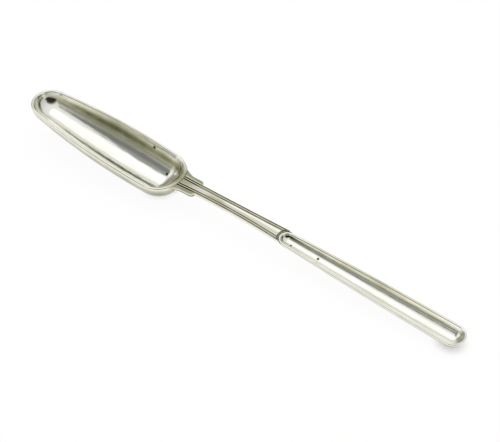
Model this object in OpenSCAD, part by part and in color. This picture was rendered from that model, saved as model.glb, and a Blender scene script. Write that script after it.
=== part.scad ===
// Marrow scoop in silver: a broad bowl and a narrow trough on one threaded stem.
// It lies face up on the bowl's heel and the trough's tip. X runs from the bowl
// to the trough, Z is up, and the origin is on the table under its middle.

/* [Bowl] */
// Length of the bowl's rim, from tip to heel
bowl_length = 83; // [72:0.5:95]
// Radius of the bowl's round tip
bowl_tip_radius = 9.2; // [7.5:0.1:11]
// Radius of the bowl's round heel, beside the stem
bowl_heel_radius = 12.4; // [11:0.1:14]
// Radius of the long curve of the bowl's sides
bowl_side_radius = 345; // [280:5:900]
// Height of the round section's centre above the bowl's rim
bowl_centre_rise = 0.6; // [0.2:0.1:2]
// Thickness of the bowl's wall
bowl_wall = 1.3; // [0.9:0.05:2]
// Width that the heel's broad land adds to the wall beside the stem
heel_land = 2.6; // [1.5:0.1:3.5]
// Angle by which the bowl's tip is raised
bowl_pitch = 5.3; // [3:0.1:7]
// Height that the rim sweeps up at the heel, to meet the stem
heel_sweep = 1.2; // [0.6:0.1:1.6]
// Length of the rim's upward sweep
heel_sweep_length = 7; // [6:0.5:14]

/* [Trough] */
// Length of the trough's rim, from root to tip
trough_length = 90; // [75:0.5:105]
// Radius of the trough's round root, beside the stem
trough_root_radius = 4.1; // [3.6:0.1:4.8]
// Radius of the trough's round tip
trough_tip_radius = 5.9; // [5.2:0.1:7]
// Radius of the long curve of the trough's sides
trough_side_radius = 2500; // [1500:50:5000]
// Height of the round section's centre above the trough's rim
trough_centre_rise = 0.6; // [0.2:0.1:1.2]
// Thickness of the trough's wall
trough_wall = 1.1; // [0.8:0.05:1.6]
// Angle by which the trough falls towards its tip
trough_pitch = 3.5; // [2:0.1:5]

/* [Stem] */
// Length of the stem between the two rims
stem_length = 52; // [42:0.5:64]
// Half the width of the stem at its waist, and its depth there
waist_radius = 2.9; // [2.4:0.1:3.4]
// Distance of the waist from the bowl's rim
waist_from_bowl = 20; // [15:0.5:26]
// Radius of the long hollow curve of the stem's sides
waist_curve_radius = 560; // [400:10:1200]
// Rise of the stem's arched top over the straight line between its ends
stem_arch = 0.55; // [0.2:0.05:1.2]
// Height of the stem's end above the trough's rim
stem_step = 0.45; // [0.3:0.05:0.8]
// Width of the stem across its two ears
ear_width = 9.6; // [8.6:0.1:11]
// Distance of the ears' outer ends from the bowl's rim
ear_reach = 9.3; // [7:0.1:11]
// Radius of the ears' rounded ends
ear_round = 2; // [0.6:0.1:2.4]
// Depth of the plate that carries the ears, along its middle
ear_depth = 1.8; // [1.4:0.1:2.4]
// Radius of the plate's rounded back
ear_back_radius = 20; // [15:0.5:28]
// Radius of the hollow flare from the ears to the bowl
flare_radius = 6; // [3:0.25:8]

/* [Threads] */
// Distance of the outer thread line from the stem's edge
outer_thread_inset = 0.45; // [0.4:0.05:0.7]
// Distance between the two thread lines
thread_spacing = 1.1; // [0.8:0.05:1.3]
// Width of a thread line
thread_width = 0.4; // [0.2:0.05:0.5]
// Depth of a thread line
thread_depth = 0.35; // [0.15:0.05:0.6]

/* [Joints] */
// Thickness of the solder between the stem and each scoop
solder_film = 0.12; // [0.08:0.01:0.2]
// Width of the drop, the tongue that laps under the bowl's heel
drop_width = 7; // [5:0.25:8]
// Length of the drop past its middle, down the heel
drop_reach = 4; // [3.5:0.1:5]
// Angle of the drop's middle under the bowl's axis
drop_lean = 17; // [14:1:20]
// Thickness of the drop
drop_thickness = 0.9; // [0.6:0.05:1.2]
// Width of the tongue that laps under the trough's root
tongue_width = 4.4; // [3.4:0.1:5]
// Length of the tongue past the centre of the trough's round root
tongue_reach = 9; // [6:0.5:14]
// Thickness of the tongue
tongue_thickness = 0.8; // [0.5:0.05:1]
// Width of the sunk line round the trough's root
joint_line_width = 0.6; // [0.3:0.05:0.9]
// Depth of the sunk line round the trough's root
joint_line_depth = 0.4; // [0.2:0.05:0.6]

/* [Rest] */
// Depth of the worn flats under the heel and the tip
rest_flat_depth = 0.12; // [0.06:0.01:0.25]

/* [Hidden] */
$fn = 96;

// Facets along each round end and along each long side of a scoop
end_steps = 14;
side_steps = 8;
// Facets along the rim's sweep and the stem's rounded corners
corner_steps = 8;
// Facets along the stem's sides and along its arched top
waist_steps = 7;
arch_steps = 12;
// Angle left off the thin end of each flare
flare_trim = 18;

// Half the length of the flat cut across a round end by the rim
function rim_half(radius, rise) = sqrt(radius ^ 2 - rise ^ 2);

// Height of the heel's rim over the round section's centre, in the bowl's own frame
heel_top = heel_sweep - bowl_centre_rise;
bowl_heel_half = rim_half(bowl_heel_radius, heel_top);
bowl_tip_half = rim_half(bowl_tip_radius, bowl_centre_rise);
bowl_axis = bowl_length - bowl_heel_half - bowl_tip_half;
trough_root_half = rim_half(trough_root_radius, trough_centre_rise);
trough_tip_half = rim_half(trough_tip_radius, trough_centre_rise);
trough_axis = trough_length - trough_root_half - trough_tip_half;

// Lengths along X, from the centre of each scoop's +X end to its two rim ends
bowl_aft = (bowl_axis + bowl_tip_half) * cos(bowl_pitch) + bowl_centre_rise * sin(bowl_pitch);
bowl_fore = bowl_heel_half * cos(bowl_pitch) + heel_top * sin(bowl_pitch);
trough_aft = (trough_axis + trough_root_half) * cos(trough_pitch) + trough_centre_rise * sin(trough_pitch);
trough_fore = trough_tip_half * cos(trough_pitch) - trough_centre_rise * sin(trough_pitch);
overall_length = bowl_aft + bowl_fore + stem_length + trough_aft + trough_fore;
room = 2 * overall_length;

// Centres of the bowl's heel and the trough's tip, which both stand on the table
bowl_centre = [bowl_aft - overall_length / 2, 0, bowl_heel_radius - rest_flat_depth];
trough_centre = [overall_length / 2 - trough_fore, 0, trough_tip_radius - rest_flat_depth];

// Heights of the stem's two ends, and the stem between them
stem_start_z = bowl_centre.z - bowl_heel_half * sin(bowl_pitch) + heel_top * cos(bowl_pitch);
stem_end_z = trough_centre.z + (trough_axis + trough_root_half) * sin(trough_pitch)
    - trough_centre_rise * cos(trough_pitch) + stem_step;
stem_start = [bowl_centre.x + bowl_fore, 0, stem_start_z];
stem_pitch = atan2(stem_start_z - stem_end_z, stem_length);
stem_chord = stem_length / cos(stem_pitch);
stem_lap = trough_root_radius;
stem_ends = [-stem_lap, stem_chord + stem_lap];

// A scoop's form: radius of its +X end, radius of its -X end, radius of its long
// sides, and distance between the centres of its ends
bowl_form = [bowl_heel_radius, bowl_tip_radius, bowl_side_radius, bowl_axis];
bowl_hollow_form = [bowl_heel_radius, bowl_tip_radius, bowl_side_radius, bowl_axis - heel_land];
trough_form = [trough_tip_radius, trough_root_radius, trough_side_radius, trough_axis];

function arc(centre, radius, from, to, steps) =
    [for (i = [0:steps]) let (a = from + (to - from) * i / steps) centre + radius * [cos(a), sin(a)]];

function spread(ends, steps) = [for (i = [0:steps]) ends[0] + (ends[1] - ends[0]) * i / steps];

// Half width of the stem's bar, and height of its arched top, along its own X
function stem_edge(x) =
    waist_radius + waist_curve_radius - sqrt(waist_curve_radius ^ 2 - (x - waist_from_bowl) ^ 2);
function stem_top(x) = stem_arch * (1 - (2 * x / stem_chord - 1) ^ 2);

// Half outline of a scoop: round end, long side tangent to both ends, round end
function scoop_outline(form, grow) =
    let (
        fore_gap = form[2] - form[0],
        aft_gap = form[2] - form[1],
        along = (fore_gap ^ 2 - aft_gap ^ 2 + form[3] ^ 2) / (2 * form[3]),
        inward = sqrt(fore_gap ^ 2 - along ^ 2),
        fore_angle = atan2(-along, inward),
        aft_angle = atan2(form[3] - along, inward),
        side = arc([-inward, along], form[2] + grow, fore_angle, aft_angle, side_steps)
    )
    concat(
        arc([0, 0], form[0] + grow, -90, fore_angle, end_steps),
        [for (i = [1:side_steps - 1]) side[i]],
        arc([0, form[3]], form[1] + grow, aft_angle, 90, end_steps)
    );

// The solid round body of a scoop, with its +X end centred on the origin
module scoop_body(form, grow) {
    rotate([0, -90, 0])
        rotate_extrude()
            polygon(scoop_outline(form, grow));
}

// All that lies above a scoop's rim, whose +X end may sweep up
module above_rim(rise, sweep, sweep_ends) {
    swept = [for (i = [0:corner_steps]) [
        sweep_ends[0] + (sweep_ends[1] - sweep_ends[0]) * i / corner_steps,
        sweep * (i / corner_steps) ^ 2 - rise
    ]];
    rotate([90, 0, 0])
        linear_extrude(height = room, center = true)
            polygon(concat([[-room, -rise]], swept, [[room, sweep - rise], [room, room], [-room, room]]));
}

module above_bowl_rim() {
    above_rim(bowl_centre_rise, heel_sweep, [bowl_heel_half - heel_sweep_length, bowl_heel_half]);
}

module in_bowl() {
    translate(bowl_centre)
        rotate([0, bowl_pitch, 0])
            children();
}

module in_trough() {
    translate(trough_centre)
        rotate([0, trough_pitch, 0])
            children();
}

// The stem's own frame: X from the bowl's rim to the trough's rim
module in_stem() {
    translate(stem_start)
        rotate([0, stem_pitch, 0])
            children();
}

module below_table() {
    translate([-room, -room, -room])
        cube([2 * room, 2 * room, room]);
}

// All that lies under the stem's arched top, or a little deeper
module under_top(depth) {
    top = [for (x = spread(stem_ends, arch_steps)) [x, stem_top(x) - depth]];
    rotate([90, 0, 0])
        linear_extrude(height = room, center = true)
            polygon(concat([[stem_ends[0], -room]], top, [[stem_ends[1], -room]]));
}

// The half-round bar, drawn in at its waist
module stem_bar() {
    rotate([0, -90, 0])
        rotate_extrude()
            polygon(concat(
                [[0, -stem_ends[0]]],
                [for (x = spread(stem_ends, waist_steps)) [stem_edge(x), -x]],
                [[0, -stem_ends[1]]]
            ));
}

// One side of the plate with the ear and its flare, seen from above
function ear_side() =
    let (
        heel_x = -bowl_fore,
        flare_y = ear_width / 2 + flare_radius,
        flare_x = heel_x + sqrt((bowl_heel_radius + flare_radius) ^ 2 - flare_y ^ 2),
        touch = atan2(flare_y, flare_x - heel_x),
        flare = arc([flare_x, flare_y], flare_radius, 180 + touch + flare_trim, 270, corner_steps),
        end_centre = [ear_reach - ear_round, ear_width / 2 - ear_round],
        inside = [heel_x, 0] + (flare[0] - [heel_x, 0]) * (bowl_heel_radius - stem_lap) / bowl_heel_radius
    )
    concat([[inside.x, 0], inside], flare, arc(end_centre, ear_round, 90, 0, corner_steps), [[ear_reach, 0]]);

module ear_plate() {
    half = ear_side();
    intersection() {
        translate([0, 0, -ear_depth])
            linear_extrude(height = ear_depth + stem_lap)
                polygon(concat(half, [for (i = [len(half) - 2:-1:1]) [half[i].x, -half[i].y]]));
        translate([0, 0, ear_back_radius - ear_depth])
            rotate([0, 90, 0])
                cylinder(r = ear_back_radius, h = room, center = true);
    }
}

// A tongue with a round end, seen flat, lying along X
module tongue_plan(from, to, width) {
    tip = arc([to - width / 2, 0], width / 2, 90, -90, 2 * corner_steps);
    polygon(concat([[from, -width / 2], [from, width / 2]], tip));
}

// The drop: a tongue that follows the round of the bowl's heel
module drop() {
    intersection() {
        scoop_body(bowl_form, solder_film + drop_thickness);
        rotate([0, drop_lean + 90, 0])
            linear_extrude(height = 2 * bowl_heel_radius)
                tongue_plan(-drop_reach, drop_reach, drop_width);
    }
}

// The tongue that follows the underside of the trough's root
module trough_tongue() {
    intersection() {
        scoop_body(trough_form, solder_film + tongue_thickness);
        translate([-trough_axis, 0, -2 * trough_root_radius])
            linear_extrude(height = 2 * trough_root_radius - trough_centre_rise)
                tongue_plan(-trough_root_radius, tongue_reach, tongue_width);
    }
}

// The bar, ears, drop and tongue together, under the arched top
module stem_blank() {
    intersection() {
        union() {
            in_stem() {
                stem_bar();
                ear_plate();
            }
            in_bowl() drop();
            in_trough() trough_tongue();
        }
        in_stem() under_top(0);
    }
}

// One thread line, seen from above
module thread_band(inset) {
    inner = [for (x = spread(stem_ends, waist_steps)) [x, stem_edge(x) - inset - thread_width / 2]];
    outer = [for (x = spread(stem_ends, waist_steps)) [x, stem_edge(x) - inset + thread_width / 2]];
    polygon(concat(inner, [for (i = [waist_steps:-1:0]) outer[i]]));
}

// The two thread lines along each edge of the stem's top
module threads() {
    difference() {
        linear_extrude(height = room, center = true)
            for (side = [0, 1], line = [0, 1])
                mirror([0, side])
                    thread_band(outer_thread_inset + line * thread_spacing);
        under_top(thread_depth);
    }
}

// The sunk line where the stem meets the trough's root
module joint_line() {
    difference() {
        in_trough() scoop_body(trough_form, solder_film + joint_line_width);
        in_stem() under_top(joint_line_depth);
    }
}

// The stem with its lines cut, before its seats
module stem_form() {
    difference() {
        difference() {
            stem_blank();
            in_stem() threads();
        }
        joint_line();
    }
}

module bowl() {
    color("Silver")
        difference() {
            in_bowl() difference() {
                scoop_body(bowl_form, 0);
                translate([-heel_land, 0, 0])
                    scoop_body(bowl_hollow_form, -bowl_wall);
                above_bowl_rim();
            }
            below_table();
        }
}

module stem() {
    color("#cbc5b0")
        difference() {
            difference() {
                stem_form();
                in_bowl() scoop_body(bowl_form, solder_film);
            }
            in_trough() scoop_body(trough_form, solder_film);
        }
}

module trough() {
    color("#dcdcd6")
        difference() {
            in_trough() difference() {
                scoop_body(trough_form, 0);
                scoop_body(trough_form, -trough_wall);
                above_rim(trough_centre_rise, 0, [0, trough_tip_radius]);
            }
            below_table();
        }
}

// The film of solder between the stem's seat and the bowl, up to the bowl's rim
module bowl_solder() {
    color("#b4b0a2")
        difference() {
            intersection() {
                stem_form();
                in_bowl() scoop_body(bowl_form, solder_film);
            }
            in_bowl() scoop_body(bowl_form, 0);
            in_bowl() above_bowl_rim();
        }
}

// The film of solder between the stem's seat and the trough
module trough_solder() {
    color("#b4b0a2")
        difference() {
            intersection() {
                stem_form();
                in_trough() scoop_body(trough_form, solder_film);
            }
            in_trough() scoop_body(trough_form, 0);
        }
}

bowl();
stem();
trough();
bowl_solder();
trough_solder();
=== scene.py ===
from collections import namedtuple
from math import acos, asin, atan2, cos, exp, pi, radians, sin, sqrt, tan

import bmesh
import bpy
from mathutils import Matrix, Vector


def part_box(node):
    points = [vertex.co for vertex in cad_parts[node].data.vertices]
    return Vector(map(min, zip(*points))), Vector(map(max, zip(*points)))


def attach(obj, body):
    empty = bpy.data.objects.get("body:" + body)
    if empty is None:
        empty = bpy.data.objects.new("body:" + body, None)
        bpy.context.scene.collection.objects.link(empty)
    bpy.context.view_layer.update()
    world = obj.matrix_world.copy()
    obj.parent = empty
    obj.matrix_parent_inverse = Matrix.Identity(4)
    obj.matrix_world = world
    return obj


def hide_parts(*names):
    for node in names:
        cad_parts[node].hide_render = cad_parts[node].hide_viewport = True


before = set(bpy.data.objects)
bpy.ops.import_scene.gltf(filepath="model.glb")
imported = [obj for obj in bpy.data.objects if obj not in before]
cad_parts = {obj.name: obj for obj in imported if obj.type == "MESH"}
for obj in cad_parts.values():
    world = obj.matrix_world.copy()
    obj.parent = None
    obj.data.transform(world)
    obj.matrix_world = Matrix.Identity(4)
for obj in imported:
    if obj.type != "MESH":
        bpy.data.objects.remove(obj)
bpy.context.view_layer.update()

# Bowl
# The broad bowl is raised from one sheet of sterling silver, round in section, with an even wall
# that broadens into a land at the heel. Its lip is filed flat and burnished round at both edges,
# and sweeps up at the heel to meet the stem. Sizes are in millimetres.
MM = 0.001
bowl_form = {
    "fore_radius": 12.4,
    "aft_radius": 9.2,
    "side_radius": 345.0,
    "length": 83.0,
    "wall": 1.3,
    "centre_rise": 0.6,
    "pitch": 5.3,
    "sweep": 1.2,
    "sweep_length": 7.0,
    "lip_round": 0.6,
    "heel_land": 2.6,
    "heel_slope": 2.4,
    "tarnish_and_shade": 1.0,
    "far_lip_darkening": 0.3,
    "painted_reflection": (0.34, 0.55),
}
WORN_FLAT = 0.12
# Share of the outer lip's rounding that is filed off at the heel, flush with the stem
HEEL_FLUSH = 0.7

# Shares of tarnish: cloths polish the hollow bright, and reach the edges and the back less.
# The flanks under the lip get a painted shade on top, a painted reflection of the shadow
# under the scoop, and the land at the heel is darker still
HOLLOW_TARNISH = 0.02
EDGE_TARNISH = 0.28
BACK_TARNISH = 0.2
FLANK_PAINTED_SHADE = 0.4
LAND_DARKENING = 0.52
# The +Y side has a darker outer edge and lip, and a painted reflection of the dark room in a
# band in the hollow under its lip. The painted reflection keeps its strength along most of the
# scoop, and changes close to the -X end.
REFLECTION_PLACE = 0.22
REFLECTION_SPREAD = 0.16
REFLECTION_FADE = 12
FAR_EDGE_DARKENING = 0.3
# Points closer than this are welded
WELD = 0.0005 * MM


def half_flat(radius, rise):
    return sqrt(radius**2 - rise**2)


def scoop_span(form):
    """Distance between the centres of a scoop's two round ends."""
    fore = half_flat(form["fore_radius"], form["sweep"] - form["centre_rise"])
    aft = half_flat(form["aft_radius"], form["centre_rise"])
    return form["length"] - fore - aft


# A station is one place round the lip: the wall turns from `out` through `down` to the keel
Station = namedtuple("Station", "centre radius still out down keel")


def scoop_stations(form):
    """Stations all round a scoop's lip, whose +X end is centred on the origin."""
    span = scoop_span(form)
    side = form["side_radius"]
    fore_gap = side - form["fore_radius"]
    aft_gap = side - form["aft_radius"]
    along = (fore_gap**2 - aft_gap**2 + span**2) / (2 * span)
    inward = sqrt(fore_gap**2 - along**2)
    fore_angle = atan2(-along, inward)
    aft_angle = atan2(span - along, inward)

    def end_station(angle, hand, centre, radius, keel_angle):
        out = Vector((-sin(angle), hand * cos(angle), 0))
        keel_way = Vector((-sin(keel_angle), 0, -cos(keel_angle)))
        down = (keel_way - out * out.dot(keel_way)).normalized()
        return Station(Vector((-centre, 0, 0)), radius, Vector(), out, down, acos(out.dot(keel_way)))

    def side_station(angle, hand):
        centre = along + inward * tan(angle)
        return Station(
            Vector((-centre, 0, 0)),
            side - inward / cos(angle),
            Vector((-sin(angle), 0, 0)),
            Vector((0, hand * cos(angle), 0)),
            Vector((0, 0, -cos(angle))),
            pi / 2,
        )

    end_steps, side_steps = 40, 56
    half = []
    for i in range(end_steps):
        angle = -pi / 2 + (fore_angle + pi / 2) * i / end_steps
        half.append(lambda hand, a=angle: end_station(a, hand, 0, form["fore_radius"], fore_angle))
    for i in range(side_steps + 1):
        angle = fore_angle + (aft_angle - fore_angle) * i / side_steps
        half.append(lambda hand, a=angle: side_station(a, hand))
    for i in range(1, end_steps + 1):
        angle = aft_angle + (pi / 2 - aft_angle) * i / end_steps
        half.append(lambda hand, a=angle: end_station(a, hand, span, form["aft_radius"], aft_angle))
    return [make(1) for make in half] + [make(-1) for make in half[-2:0:-1]]


def on_wall(station, inset, turn):
    facing = station.still + cos(turn) * station.out + sin(turn) * station.down
    return station.centre + (station.radius - inset) * facing


def turn_at(station, inset, height):
    return asin(height / ((station.radius - inset) * station.down.z))


def lip_height(station, form):
    """Height of the lip at a station: flat, and then swept up at the +X end."""
    end = half_flat(form["fore_radius"], form["sweep"] - form["centre_rise"])
    reach = on_wall(station, 0, 0).x - (end - form["sweep_length"])
    share = max(0.0, reach / form["sweep_length"])
    return form["sweep"] * share**2 - form["centre_rise"]


def heel_share(station, form):
    """How far a station lies on the broad land at the heel, if the scoop has one."""
    return max(0.0, station.out.x) ** 2 if form["heel_land"] else 0.0


def wall_point(part, share, station, form):
    """A point of a scoop's wall, where share runs along each part from the keel to the keel."""
    land = heel_share(station, form)
    lip = lip_height(station, form)
    thick = form["wall"] + form["heel_land"] * land
    outer_round = form["lip_round"] * (1 - HEEL_FLUSH * land)
    inner_round = form["lip_round"] + form["heel_slope"] * land
    bend = pi / 2 * share
    if part == "back":
        inset = 0.0
        edge = turn_at(station, inset, lip - outer_round)
        turn = station.keel + (edge - station.keel) * share
    elif part == "outer_edge":
        inset = outer_round * (1 - cos(bend))
        turn = turn_at(station, inset, lip - outer_round * (1 - sin(bend)))
    elif part == "inner_edge":
        inset = thick - inner_round * (1 - sin(bend))
        turn = turn_at(station, inset, lip - inner_round * (1 - cos(bend)))
    else:
        edge = turn_at(station, thick, lip - inner_round)
        turn = edge + (station.keel - edge) * share
        inset = form["wall"] + (thick - form["wall"]) * max(0.0, cos(turn)) / cos(edge)
    return on_wall(station, inset, turn)


def wall_tarnish_and_shade(part, share, station, form):
    """Share of tarnish, darkening, painted shade and painted reflection at a point of a scoop's wall."""
    far_side = max(0.0, station.out.y)
    land = heel_share(station, form)
    along = -station.centre.x / scoop_span(form)
    # The land at the heel and the middle of the +Y lip are darker
    worn_and_shaded = LAND_DARKENING * land + form["far_lip_darkening"] * far_side * sin(pi * along)
    if part == "back":
        # Tarnish on the back, with a painted shade on the flank, a painted reflection of the shadow
        # under the scoop, which fades in from the keel and out at the lip
        flank_shade = min(1.0, 2 * share) * (1 - share**8)
        worn_and_shaded = BACK_TARNISH * form["tarnish_and_shade"] + FLANK_PAINTED_SHADE * flank_shade
    elif part == "outer_edge":
        worn_and_shaded += (EDGE_TARNISH + FAR_EDGE_DARKENING * far_side) * form["tarnish_and_shade"] * (1 - share)
    elif part == "hollow":
        worn_and_shaded = HOLLOW_TARNISH + (worn_and_shaded - HOLLOW_TARNISH) * (1 - share) ** 3
        # Painted reflection of the dark room: a band on the +Y side of the hollow, under the lip
        aft, fore = form["painted_reflection"]
        painted_reflection = fore + (aft - fore) * along**REFLECTION_FADE
        painted_reflection *= far_side * (1 - land)
        worn_and_shaded += painted_reflection * exp(-(((share - REFLECTION_PLACE) / REFLECTION_SPREAD) ** 2))
    return worn_and_shaded


def next_ring(bm, ring, edges):
    """Extrudes a ring of edges, and gives the new ring, in the same order, and its edges."""
    made = bmesh.ops.extrude_edge_only(bm, edges=edges)["geom"]
    fresh = {v for v in made if isinstance(v, bmesh.types.BMVert)}
    new_edges = [e for e in made if isinstance(e, bmesh.types.BMEdge) and fresh.issuperset(e.verts)]
    new_ring = []
    for vert in ring:
        new_ring.append(next(e.other_vert(vert) for e in vert.link_edges if e.other_vert(vert) in fresh))
    return new_ring, new_edges


def scoop_wall(form, place):
    """A scoop drawn ring by ring: up the back from the keel, over the lip, down the hollow."""
    stations = scoop_stations(form)
    rings = []
    for part, steps in (("back", 30), ("outer_edge", 5), ("inner_edge", 8), ("hollow", 30)):
        first = 1 if part in ("outer_edge", "hollow") else 0
        rings += [(part, i / steps) for i in range(first, steps + 1)]

    bm = bmesh.new()
    tarnish_and_shade = bm.verts.layers.float.new("tarnish_and_shade")
    ring = bmesh.ops.create_circle(bm, segments=len(stations), radius=1)["verts"]
    edges = list(bm.edges)
    for number, (part, share) in enumerate(rings):
        if number:
            ring, edges = next_ring(bm, ring, edges)
        for vert, station in zip(ring, stations):
            vert.co = place @ (wall_point(part, share, station, form) * MM)
            vert.co.z = max(vert.co.z, 0.0)
            vert[tarnish_and_shade] = wall_tarnish_and_shade(part, share, station, form)
    bmesh.ops.remove_doubles(bm, verts=bm.verts, dist=WELD)
    bmesh.ops.recalc_face_normals(bm, faces=bm.faces)
    return bm


def piece(name, bm):
    """Makes the drawn shape an object that rides on the scoop's one body."""
    mesh = bpy.data.meshes.new(name)
    bm.to_mesh(mesh)
    bm.free()
    mesh.shade_smooth()
    made = bpy.data.objects.new(name, mesh)
    bpy.context.scene.collection.objects.link(made)
    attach(made, "root")
    return made


bowl_pitch = radians(bowl_form["pitch"])
bowl_tip_half = half_flat(bowl_form["aft_radius"], bowl_form["centre_rise"])
bowl_aft = (scoop_span(bowl_form) + bowl_tip_half) * cos(bowl_pitch)
bowl_aft += bowl_form["centre_rise"] * sin(bowl_pitch)
bowl_centre = Vector((
    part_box("bowl")[0].x + bowl_aft * MM,
    0,
    (bowl_form["fore_radius"] - WORN_FLAT) * MM,
))
bowl_place = Matrix.Translation(bowl_centre) @ Matrix.Rotation(bowl_pitch, 4, "Y")
bowl = piece("marrow_bowl", scoop_wall(bowl_form, bowl_place))
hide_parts("bowl")


def linear(code):
    """Linear colour of an sRGB hex value."""
    shares = [int(code[i:i + 2], 16) / 255 for i in (1, 3, 5)]
    return [s / 12.92 if s <= 0.04045 else ((s + 0.055) / 1.055) ** 2.4 for s in shares] + [1.0]


def add(tree, kind, sockets, **settings):
    """Adds a node, with its settings, and sets or links its sockets."""
    node = tree.nodes.new("ShaderNode" + kind)
    for name, value in settings.items():
        setattr(node, name, value)
    for name, value in sockets.items():
        if isinstance(value, bpy.types.NodeSocket):
            tree.links.new(value, node.inputs[name])
        else:
            node.inputs[name].default_value = value
    return node


def fresh_tree(owner):
    owner.use_nodes = True
    owner.node_tree.nodes.clear()
    return owner.node_tree


# Old sterling silver, polished by hand for many years: a soft mirror, slightly warm, with
# fine rubbing marks along its length, and a tarnish from cream through olive to black where
# cloths don't reach. The same tones also carry painted shade and painted reflections.
silver = bpy.data.materials.new("old_sterling_silver")
tree = fresh_tree(silver)
place = add(tree, "TexCoord", {}).outputs["Object"]
worn_and_shaded = add(tree, "Attribute", {}, attribute_name="tarnish_and_shade").outputs["Fac"]
# Rubbing marks lie along the scoop, 0.8 mm wide, coarser than real ones so that they show,
# and the tarnish lies in clouds 8 mm across
RUB_WIDTH = 0.8 * MM
RUB_STRETCH = 0.09
RUB_TARNISH = 0.12
CLOUD_WIDTH = 8 * MM
CLOUD_TARNISH = 0.3
along = add(tree, "Mapping", {"Vector": place, "Scale": (RUB_STRETCH, 1.0, 1.0)}).outputs["Vector"]
rubbed = add(tree, "TexNoise", {"Vector": along, "Scale": 1 / RUB_WIDTH, "Detail": 3.0})
clouds = add(tree, "TexNoise", {"Vector": place, "Scale": 1 / CLOUD_WIDTH, "Detail": 4.0})
clouded = add(tree, "Math", {
    0: clouds.outputs["Fac"],
    1: CLOUD_TARNISH,
    2: worn_and_shaded,
}, operation="MULTIPLY_ADD")
streaked = add(tree, "Math", {
    0: rubbed.outputs["Fac"],
    1: RUB_TARNISH,
    2: clouded.outputs["Value"],
}, operation="MULTIPLY_ADD")
stained_and_shaded = streaked.outputs["Value"]
# A few black spots, painted reflections of dark things in the room: the place of each, and
# its radius, in millimetres
SPOT_CORE = 0.4
reflection_spots = (
    ((-42.8, 6.3, 3.2), 1.0),
    ((-53.2, 10.9, 10.0), 1.3),
    ((28.5, -0.3, 7.5), 0.7),
    ((41.3, 0.9, 6.35), 0.9),
)
for middle, radius in reflection_spots:
    off = add(tree, "VectorMath", {0: place, 1: Vector(middle) * MM}, operation="DISTANCE")
    spot = add(tree, "MapRange", {
        "Value": off.outputs["Value"],
        "From Min": SPOT_CORE * radius * MM,
        "From Max": radius * MM,
        "To Min": 1.0,
        "To Max": 0.0,
    })
    darker = add(tree, "Math", {0: stained_and_shaded, 1: spot.outputs["Result"]}, operation="MAXIMUM")
    stained_and_shaded = darker.outputs["Value"]
tones = add(tree, "ValToRGB", {"Fac": stained_and_shaded})
tones.color_ramp.elements[0].position = 0.2
tones.color_ramp.elements[0].color = linear("#f7f7f5")
tones.color_ramp.elements[1].position = 1.0
tones.color_ramp.elements[1].color = linear("#24231b")
for stop, code in ((0.5, "#e4e1cf"), (0.78, "#96967a")):
    tones.color_ramp.elements.new(stop).color = linear(code)
haze = add(tree, "MapRange", {
    "Value": stained_and_shaded,
    "From Min": 0.1,
    "From Max": 0.9,
    "To Min": 0.05,
    "To Max": 0.25,
})
# The scoops were hammered up over a stake, and the blows still show as shallow waves 7 mm across
BLOW_WIDTH = 7 * MM
BLOW_DEPTH = 0.05 * MM
RUB_DEPTH = 0.04 * MM
blows = add(tree, "TexNoise", {"Vector": place, "Scale": 1 / BLOW_WIDTH, "Detail": 1.0})
waves = add(tree, "Bump", {"Height": blows.outputs["Fac"], "Strength": 1.0, "Distance": BLOW_DEPTH})
marks = add(tree, "Bump", {
    "Height": rubbed.outputs["Fac"],
    "Normal": waves.outputs["Normal"],
    "Strength": 1.0,
    "Distance": RUB_DEPTH,
})
shader = add(tree, "BsdfPrincipled", {
    "Base Color": tones.outputs["Color"],
    "Metallic": 1.0,
    "Roughness": haze.outputs["Result"],
    "Normal": marks.outputs["Normal"],
})
add(tree, "OutputMaterial", {"Surface": shader.outputs["BSDF"]})
bowl.data.materials.append(silver)

# Trough
# The narrow trough is raised from sheet in the same way, round in section, and widens
# slowly from its root at the stem to its round tip.
trough_form = {
    "fore_radius": 5.9,
    "aft_radius": 4.1,
    "side_radius": 2500.0,
    "length": 90.0,
    "wall": 1.1,
    "centre_rise": 0.6,
    "pitch": 3.5,
    "sweep": 0.0,
    "sweep_length": 1.0,
    "lip_round": 0.5,
    "heel_land": 0.0,
    "heel_slope": 0.0,
    "tarnish_and_shade": 0.6,
    "far_lip_darkening": 0.36,
    "painted_reflection": (0.85, 0.14),
}
trough_pitch = radians(trough_form["pitch"])
trough_tip_half = half_flat(trough_form["fore_radius"], trough_form["centre_rise"])
trough_fore = trough_tip_half * cos(trough_pitch) - trough_form["centre_rise"] * sin(trough_pitch)
trough_centre = Vector((
    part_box("trough")[1].x - trough_fore * MM,
    0,
    (trough_form["fore_radius"] - WORN_FLAT) * MM,
))
trough_place = Matrix.Translation(trough_centre) @ Matrix.Rotation(trough_pitch, 4, "Y")
trough = piece("marrow_trough", scoop_wall(trough_form, trough_place))
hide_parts("trough")
trough.data.materials.append(silver)

# Stem
# The stem is forged: a half-round bar with an arched top, two thread lines cut along each
# edge, and ears that flare into the bowl. A drop laps under the bowl's heel and a tongue
# under the trough's root, and both seats are filed to fit and soldered.
SOLDER_FILM = 0.12
STEM_LENGTH = 52.0
STEM_STEP = 0.45
WAIST_RADIUS = 2.9
WAIST_FROM_BOWL = 20.0
WAIST_CURVE = 560.0
STEM_ARCH = 0.55
EAR_HALF = 4.8
EAR_REACH = 9.3
EAR_ROUND = 2.0
EAR_DEPTH = 1.8
EAR_BACK = 20.0
FLARE_HALF = 6.9
FLARE_LENGTH = 4.4
FLARE_POWER = 2.4
THREAD_FROM_EDGE = (1.55, 0.45)
THREAD_DEPTH = 0.35
# Section of one thread line: the places across it, each with its share of the depth
GROOVE_HALF = 0.36
GROOVE = (
    (-GROOVE_HALF, 0), (-0.3, 0.3), (-0.15, 0.9), (0, 1), (0.15, 0.9), (0.3, 0.3), (GROOVE_HALF, 0),
)
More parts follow.
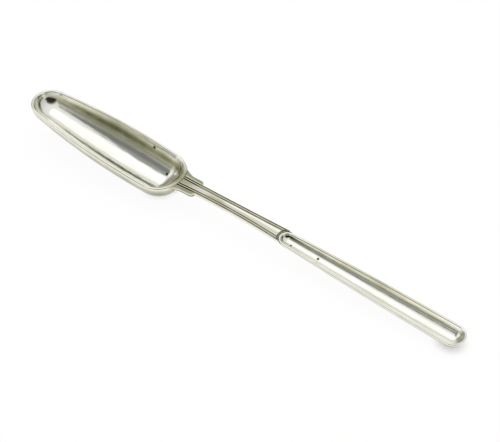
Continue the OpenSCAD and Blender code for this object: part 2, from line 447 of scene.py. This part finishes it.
# The eased upper edge: how far in from the side, and how far down
EASED_EDGE = ((0.1, 0.0), (0.03, -0.05), (0.0, -0.14))
LEDGE_WIDTH = 0.6
LEDGE_DEPTH = 0.4
PANEL_HOLLOW = 0.16
PANEL_TARNISH = 0.14
# The panel is dull between the ears, where a cloth can't reach, and at the waist, where it is held
PANEL_DULL = ((0.0, 7.5, 0.32), (19.0, 4.5, 0.22))
# The thread lines are black for some way beside the bowl, and half rubbed clean along the rest.
# The lower FILL is, the more of a line's width is as dark as its bottom.
THREAD_TARNISH = 0.6
THREAD_BLACK_REACH = 7.5
THREAD_FILL = 0.3
STEM_EDGE_TARNISH = 0.3
# Painted shade on the ears' sides and backs, which mirror the shadow under them
EAR_PAINTED_SHADE = 0.52
# Lengths over which the stem's two ends are bent on to the bowl and the trough
BOWL_BEND = 6.0
TROUGH_BEND = 8.0

heel_top = bowl_form["sweep"] - bowl_form["centre_rise"]
heel_half = half_flat(bowl_form["fore_radius"], heel_top)
root_half = half_flat(trough_form["aft_radius"], trough_form["centre_rise"])
root_centre = Vector((-scoop_span(trough_form), 0, 0))
stem_start = bowl_place @ (Vector((heel_half, 0, heel_top)) * MM)
stem_end = trough_place @ ((root_centre - Vector((root_half, 0, trough_form["centre_rise"]))) * MM)
stem_fall = stem_start.z - stem_end.z - STEM_STEP * MM
stem_pitch = atan2(stem_fall, STEM_LENGTH * MM)
stem_chord = STEM_LENGTH / cos(stem_pitch)
stem_place = Matrix.Translation(stem_start) @ Matrix.Rotation(stem_pitch, 4, "Y")
heel_ball = stem_place.inverted() @ bowl_centre / MM
root_ball = stem_place.inverted() @ (trough_place @ (root_centre * MM)) / MM


def stem_edge(s):
    return WAIST_RADIUS + WAIST_CURVE - sqrt(WAIST_CURVE**2 - (s - WAIST_FROM_BOWL) ** 2)


def stem_half(s):
    """Half width of the stem in plan: the flare, the ears, their round ends, then the bar."""
    if s > EAR_REACH:
        return stem_edge(s)
    flare = max(0.0, 1 - s / FLARE_LENGTH)
    half = EAR_HALF + (FLARE_HALF - EAR_HALF) * flare**FLARE_POWER
    past = max(0.0, s - (EAR_REACH - EAR_ROUND))
    half -= EAR_ROUND - sqrt(max(0.0, EAR_ROUND**2 - past**2))
    return max(half, stem_edge(s))


def stem_section(s):
    """Half section of the stem at s, from the middle of its top to the middle of its back."""
    edge, half = stem_edge(s), stem_half(s)
    inner = edge - THREAD_FROM_EDGE[0] - GROOVE_HALF
    sunk = PANEL_HOLLOW * min(1.0, max(0.0, (s - EAR_REACH) / EAR_REACH))
    dull = PANEL_TARNISH
    for middle, reach, share in PANEL_DULL:
        dull += share * exp(-(((s - middle) / reach) ** 4))
    steps = 6
    top = [(inner * i / steps, sunk * ((i / steps) ** 2 - 1), dull) for i in range(steps)]

    near_bowl = exp(-((s / THREAD_BLACK_REACH) ** 4))
    black = THREAD_TARNISH + (1 - THREAD_TARNISH) * near_bowl
    for inset in THREAD_FROM_EDGE:
        for y, deep in GROOVE:
            worn_and_shaded = STEM_EDGE_TARNISH + (black - STEM_EDGE_TARNISH) * deep**THREAD_FILL
            top.append((edge - inset + y, -THREAD_DEPTH * deep, worn_and_shaded))

    last = top[-1][0]
    flat_end = half - EASED_EDGE[0][0]
    # The ears' sides carry painted shade
    side = EAR_PAINTED_SHADE if s < EAR_REACH else STEM_EDGE_TARNISH
    top += [(last + (flat_end - last) * share, 0, side) for share in (0.33, 0.67, 1)]
    top += [(half - inwards, down, EDGE_TARNISH) for inwards, down in EASED_EDGE[1:]]
    # Painted shade on the ledge: darkest at its step, fading to the edge's tone at the stem's end, and
    # lighter at the sides
    if s > stem_chord - LEDGE_WIDTH:
        from_end = max(0.0, stem_chord - s) / LEDGE_WIDTH
        ledge_shade = EDGE_TARNISH + (1 - EDGE_TARNISH) * sqrt(from_end)
        top = [(y, min(z, -LEDGE_DEPTH), min(ledge_shade, half - y + EDGE_TARNISH)) for y, z, worn_and_shaded in top]
    rise = STEM_ARCH * (1 - (2 * s / stem_chord - 1) ** 2)
    section = [(y, z + rise, worn_and_shaded) for y, z, worn_and_shaded in top]
    back_steps = 14
    for i in range(back_steps + 1):
        y = half * cos(pi / 2 * i / back_steps)
        z = -sqrt(max(0.0, edge**2 - y**2))
        if s < EAR_REACH:
            z = min(z, EAR_BACK - EAR_DEPTH - sqrt(EAR_BACK**2 - y**2))
        # The ears' backs carry painted shade
        section.append((y, z, EAR_PAINTED_SHADE if s < EAR_REACH else BACK_TARNISH))
    return section


def stem_point(s, y, z):
    """Bends the stem's two ends on to the balls of the heel and the root."""
    heel = bowl_form["fore_radius"] + SOLDER_FILM
    root = trough_form["aft_radius"] + SOLDER_FILM
    start = heel_ball.x + sqrt(max(0.0, heel**2 - y**2 - (z - heel_ball.z) ** 2))
    end = root_ball.x - sqrt(max(0.0, root**2 - y**2 - (z - root_ball.z) ** 2))
    near_bowl = max(0.0, 1 - s / BOWL_BEND)
    near_trough = max(0.0, 1 - (stem_chord - s) / TROUGH_BEND)
    x = s + start * near_bowl**2 + (end - stem_chord) * near_trough**2
    return stem_place @ (Vector((x, y, z)) * MM)


# Places along the stem, each with the share of its section: the two seats close on a point
seat_shares = (0.0, 0.25, 0.5, 0.75, 0.9)
stem_stops = [(0.0, share) for share in seat_shares]
stem_stops += [(FLARE_LENGTH * (i / 12) ** 1.3, 1.0) for i in range(13)]
ear_stops = (5.2, 6.2, 7.0)
stem_stops += [(s, 1.0) for s in ear_stops]
stem_stops += [(EAR_REACH - EAR_ROUND * (1 - sin(pi / 2 * i / 12)), 1.0) for i in range(12)]
# The ears' backs end in a step, so two stops lie close on either side of it
stem_stops += [(EAR_REACH + past, 1.0) for past in (-0.01, 0.02)]
bar_end = stem_chord - LEDGE_WIDTH
stem_stops += [(EAR_REACH + (bar_end - EAR_REACH) * i / 40, 1.0) for i in range(1, 40)]
# The stops crowd at the ledge, so that its corner stays crisp
stem_stops += [(bar_end + past, 1.0) for past in (-0.12, 0.0, 0.06, 0.14, 0.3)]
stem_stops += [(stem_chord, 1.0)]
stem_stops += [(stem_chord, share) for share in reversed(seat_shares)]
SEAT_MIDDLE = -1.4

bm = bmesh.new()
tarnish_and_shade = bm.verts.layers.float.new("tarnish_and_shade")
ring_size = 2 * len(stem_section(0)) - 2
ring = bmesh.ops.create_circle(bm, segments=ring_size, radius=1)["verts"]
edges = list(bm.edges)
for number, (s, share) in enumerate(stem_stops):
    if number:
        ring, edges = next_ring(bm, ring, edges)
    section = stem_section(s)
    section += [(-y, z, worn_and_shaded) for y, z, worn_and_shaded in section[-2:0:-1]]
    for vert, (y, z, worn_and_shaded) in zip(ring, section):
        vert.co = stem_point(s, y * share, SEAT_MIDDLE + (z - SEAT_MIDDLE) * share)
        vert[tarnish_and_shade] = worn_and_shaded
bmesh.ops.remove_doubles(bm, verts=bm.verts, dist=WELD)

# The two laps are thin plates with a round end and soft edges, which follow each scoop's back
DROP_SPAN = (-3.6, 4.0)
DROP_HALF = 3.5
DROP_THICKNESS = 0.9
DROP_LEAN = radians(17.0)
TONGUE_SPAN = (-1.5, 9.0)
TONGUE_HALF = 2.2
TONGUE_THICKNESS = 0.8
LAP_SOFT = 0.45
LAP_SINK = 0.06
drop_way = Vector((cos(DROP_LEAN), 0, -sin(DROP_LEAN)))
drop_down = Vector((-sin(DROP_LEAN), 0, -cos(DROP_LEAN)))


def on_heel(x, y, proud):
    """A point on the back of the bowl's heel, from the drop's middle."""
    radius = bowl_form["fore_radius"]
    out = drop_down * x + Vector((0, y, 0)) + drop_way * sqrt(radius**2 - x**2 - y**2)
    return bowl_place @ (out.normalized() * (radius + proud) * MM)


def under_root(x, y, proud):
    """A point under the trough's root, from the centre of its round end."""
    swell = (trough_form["fore_radius"] - trough_form["aft_radius"]) / scoop_span(trough_form)
    radius = trough_form["aft_radius"] + swell * max(0.0, x) + proud
    depth = sqrt(radius**2 - y**2 - min(0.0, x) ** 2)
    return trough_place @ ((root_centre + Vector((x, y, -depth))) * MM)


def lap(bm, lay, span, half, thickness):
    """A lap of the stem, drawn as a sheet that is bent on to a scoop's back and thickened."""
    tarnish_and_shade = bm.verts.layers.float["tarnish_and_shade"]
    rows, columns = 36, 16
    sheet = bmesh.ops.create_grid(bm, x_segments=rows, y_segments=columns, size=1)["verts"]
    faces = list({f for v in sheet for f in v.link_faces})
    round_centre = span[1] - half
    for vert in sheet:
        x = span[0] + (span[1] - span[0]) * sin(pi / 4 * (vert.co.x + 1))
        past = min(half, max(0.0, x - round_centre))
        vert.co = (x, sqrt(half**2 - past**2) * sin(pi / 2 * vert.co.y), 0)
        vert[tarnish_and_shade] = BACK_TARNISH
    made = bmesh.ops.extrude_face_region(bm, geom=faces)["geom"]
    top = [v for v in made if isinstance(v, bmesh.types.BMVert)]
    for vert in top:
        from_edge = half - sqrt(max(0.0, vert.co.x - round_centre) ** 2 + vert.co.y**2)
        soft = 1 - min(1.0, max(0.0, from_edge) / LAP_SOFT)
        vert.co = lay(vert.co.x, vert.co.y, SOLDER_FILM + thickness * sqrt(1 - soft**2))
    for vert in sheet:
        vert.co = lay(vert.co.x, vert.co.y, SOLDER_FILM - LAP_SINK)
    bmesh.ops.remove_doubles(bm, verts=sheet + top, dist=WELD)


lap(bm, on_heel, DROP_SPAN, DROP_HALF, DROP_THICKNESS)
lap(bm, under_root, TONGUE_SPAN, TONGUE_HALF, TONGUE_THICKNESS)
bmesh.ops.recalc_face_normals(bm, faces=bm.faces)
stem = piece("threaded_stem", bm)
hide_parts("stem")
stem.data.materials.append(silver)

# Solder
# A film of silver solder fills the clearance between each seat of the stem and its scoop, and
# shows only as a hairline round the joint. It is poorer in silver, so it is greyer and duller.
FLOW_WIDTH = 0.8 * MM
FLOW_DEPTH = 0.01 * MM
solder = bpy.data.materials.new("silver_solder")
tree = fresh_tree(solder)
place = add(tree, "TexCoord", {}).outputs["Object"]
flow = add(tree, "TexNoise", {"Vector": place, "Scale": 1 / FLOW_WIDTH, "Detail": 3.0})
greys = add(tree, "ValToRGB", {"Fac": flow.outputs["Fac"]})
greys.color_ramp.elements[0].position = 0.3
greys.color_ramp.elements[0].color = linear("#6f6a58")
greys.color_ramp.elements[1].position = 0.7
greys.color_ramp.elements[1].color = linear("#b9b4a2")
dulled = add(tree, "MapRange", {"Value": flow.outputs["Fac"], "To Min": 0.5, "To Max": 0.25})
grain = add(tree, "Bump", {"Height": flow.outputs["Fac"], "Strength": 1.0, "Distance": FLOW_DEPTH})
shader = add(tree, "BsdfPrincipled", {
    "Base Color": greys.outputs["Color"],
    "Metallic": 1.0,
    "Roughness": dulled.outputs["Result"],
    "Normal": grain.outputs["Normal"],
})
add(tree, "OutputMaterial", {"Surface": shader.outputs["BSDF"]})
for node in ("bowl_solder", "trough_solder"):
    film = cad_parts[node]
    film.data.materials.clear()
    film.data.materials.append(solder)

# Studio
# A white paper table in a pale room. A broad softbox hangs over the left of the scoop, a
# window is low on the left, and the camera's side is dim, as the polished metal shows.
def from_object(azimuth, elevation, distance=1.0):
    """A point round the object: azimuth 0 is towards -Y and 90 towards +X."""
    a, e = radians(azimuth), radians(elevation)
    return distance * Vector((sin(a) * cos(e), -cos(a) * cos(e), sin(e)))


# White paper shows white to the eye and in the metal alike, and keeps a shadow close to the
# places where the scoop stands on it
SHADOW_NEAR = 0.5
SHADOW_FAR = 0.05
SHADOW_INNER = 2 * MM
SHADOW_OUTER = 9 * MM
paper = bpy.data.materials.new("white_paper")
tree = fresh_tree(paper)
sheet = add(tree, "BsdfPrincipled", {"Base Color": linear("#fbfbfa"), "Roughness": 0.8})
glow = add(tree, "Emission", {"Color": linear("#ffffff"), "Strength": 1.0})
path = add(tree, "LightPath", {})
seen = path.outputs["Is Camera Ray"]
for ray in ("Is Glossy Ray", "Is Transmission Ray"):
    seen = add(tree, "Math", {0: seen, 1: path.outputs[ray]}, operation="MAXIMUM").outputs["Value"]
place = add(tree, "TexCoord", {}).outputs["Object"]
apart = 1.0
for rest in (bowl_centre.x, trough_centre.x):
    off = add(tree, "VectorMath", {0: place, 1: (rest, 0, 0)}, operation="DISTANCE").outputs["Value"]
    apart = add(tree, "Math", {0: apart, 1: off}, operation="MINIMUM").outputs["Value"]
lit = add(tree, "MapRange", {
    "Value": apart,
    "From Min": SHADOW_INNER,
    "From Max": SHADOW_OUTER,
    "To Min": 1 - SHADOW_NEAR,
    "To Max": 1 - SHADOW_FAR,
}, interpolation_type="SMOOTHSTEP")
share = add(tree, "Math", {0: seen, 1: lit.outputs["Result"]}, operation="MULTIPLY")
both = add(tree, "MixShader", {
    0: share.outputs["Value"],
    1: sheet.outputs["BSDF"],
    2: glow.outputs["Emission"],
})
add(tree, "OutputMaterial", {"Surface": both.outputs["Shader"]})

TABLE_HALF = 4.0
bm = bmesh.new()
bmesh.ops.create_grid(bm, x_segments=1, y_segments=1, size=TABLE_HALF)
mesh = bpy.data.meshes.new("table_top")
bm.to_mesh(mesh)
bm.free()
mesh.materials.append(paper)
table_top = bpy.data.objects.new("table_top", mesh)
bpy.context.scene.collection.objects.link(table_top)

# The lamp itself is hidden from the metal, which mirrors the room's own bright patches
SOFTBOX_AZIMUTH = -112
SOFTBOX_ELEVATION = 73
SOFTBOX_DISTANCE = 1.5
softbox = bpy.data.lights.new("softbox", "AREA")
softbox.shape = "RECTANGLE"
softbox.size = 1.7
softbox.size_y = 1.3
softbox.energy = 11.0
softbox_lamp = bpy.data.objects.new("softbox", softbox)
bpy.context.scene.collection.objects.link(softbox_lamp)
softbox_way = from_object(SOFTBOX_AZIMUTH, SOFTBOX_ELEVATION, SOFTBOX_DISTANCE)
softbox_lamp.location = softbox_way
softbox_lamp.rotation_euler = softbox_way.to_track_quat("Z", "Y").to_euler()
softbox_lamp.visible_glossy = False

# The room that the metal mirrors: each patch has a place, an inner and an outer angle and a tone
ROOM_STRENGTH = 1.15
patches = (
    ("softbox", -108, 75, 12, 27, "#ffffff"),
    ("softbox_end", -147, 63, 6, 14, "#fafaf4"),
    ("left_wall", -94, 22, 9, 30, "#979488"),
    ("olive_wall", -132, 2, 12, 26, "#7c785c"),
    ("window", -56, 34, 7, 22, "#e4e4e0"),
    ("front_wall", -17, 20, 8, 22, "#8d8f84"),
    ("grey_card", -28.5, 44, 9, 14, "#747773"),
    ("grey_card_end", -42, 56, 4, 10, "#8f928e"),
    ("camera_side", 44, 12, 26, 46, "#2c2c28"),
)
world = bpy.data.worlds.new("pale_room")
bpy.context.scene.world = world
tree = fresh_tree(world)
way = add(tree, "TexCoord", {}).outputs["Generated"]
height = add(tree, "SeparateXYZ", {"Vector": way}).outputs["Z"]
walls = add(tree, "ValToRGB", {"Fac": height})
walls.color_ramp.elements[0].position = 0.05
walls.color_ramp.elements[0].color = linear("#bcbcb2")
walls.color_ramp.elements[1].position = 0.95
walls.color_ramp.elements[1].color = linear("#dedfda")
tone = walls.outputs["Color"]
for name, azimuth, elevation, inner, outer, code in patches:
    aim = add(tree, "VectorMath", {0: way, 1: from_object(azimuth, elevation)}, operation="DOT_PRODUCT")
    reach = add(tree, "MapRange", {
        "Value": aim.outputs["Value"],
        "From Min": cos(radians(outer)),
        "From Max": cos(radians(inner)),
    }, interpolation_type="SMOOTHSTEP", name=name)
    patch = add(tree, "MixRGB", {"Fac": reach.outputs["Result"], "Color1": tone, "Color2": linear(code)})
    tone = patch.outputs["Color"]
room = add(tree, "Background", {"Color": tone, "Strength": ROOM_STRENGTH})
add(tree, "OutputWorld", {"Surface": room.outputs["Background"]})

CAMERA_AZIMUTH = 36.63
CAMERA_ELEVATION = 45.0
CAMERA_DISTANCE = 650 * MM
AIM_HEIGHT = 5 * MM
lens = bpy.data.cameras.new("camera")
lens.sensor_width = 36.0
lens.lens = 110.16
lens.shift_x = 0.027
lens.shift_y = -0.0013
lens.clip_start = 0.01
camera = bpy.data.objects.new("camera", lens)
bpy.context.scene.collection.objects.link(camera)
camera_way = from_object(CAMERA_AZIMUTH, CAMERA_ELEVATION, CAMERA_DISTANCE)
camera.location = camera_way + Vector((0, 0, AIM_HEIGHT))
camera.rotation_euler = camera_way.to_track_quat("Z", "Y").to_euler()
bpy.context.scene.camera = camera
bpy.context.scene.view_settings.view_transform = "Standard"
